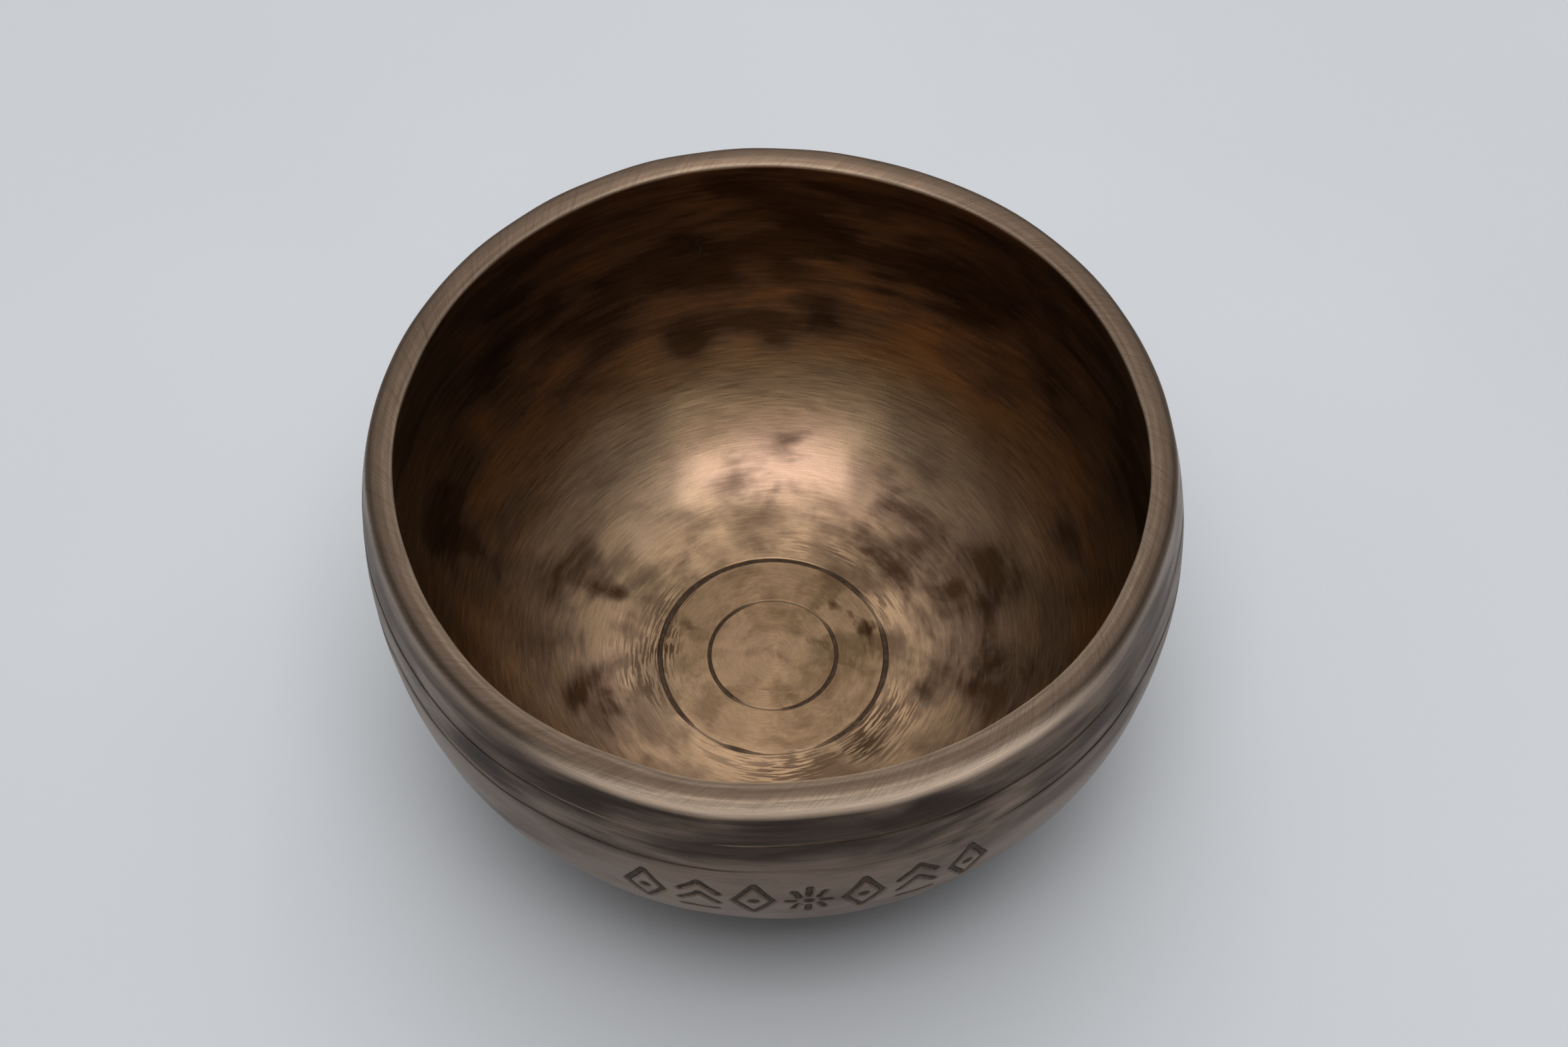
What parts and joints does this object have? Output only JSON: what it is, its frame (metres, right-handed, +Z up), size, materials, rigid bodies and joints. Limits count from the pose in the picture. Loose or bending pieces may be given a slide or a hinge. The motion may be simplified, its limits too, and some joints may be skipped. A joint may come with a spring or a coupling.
{
  "type": "singing bowl",
  "caption": "Small hand-finished bronze singing bowl with an inward-curving rim, ringed floor, turned wall lines and a punched geometric band.",
  "frame": {"origin": "centre of the flat foot, on the surface the bowl stands on", "axes": "+Z up along the bowl's axis of revolution; -Y is the front, with the punched band 5 degrees from it towards +X"},
  "size_m": [0.126, 0.126, 0.066],
  "materials": {
    "bell_metal": "satin, turned and hand-ground, with a brown patina",
    "dark_wax": "matt dark wax and polishing residue"
  },
  "bodies": {
    "root": {"bowl": "bell_metal", "inner_ring_fill": "dark_wax", "outer_ring_fill": "dark_wax", "upper_line_fill": "dark_wax", "lower_line_fill": "dark_wax", "band_fill": "dark_wax"}
  },
  "joints": []
}
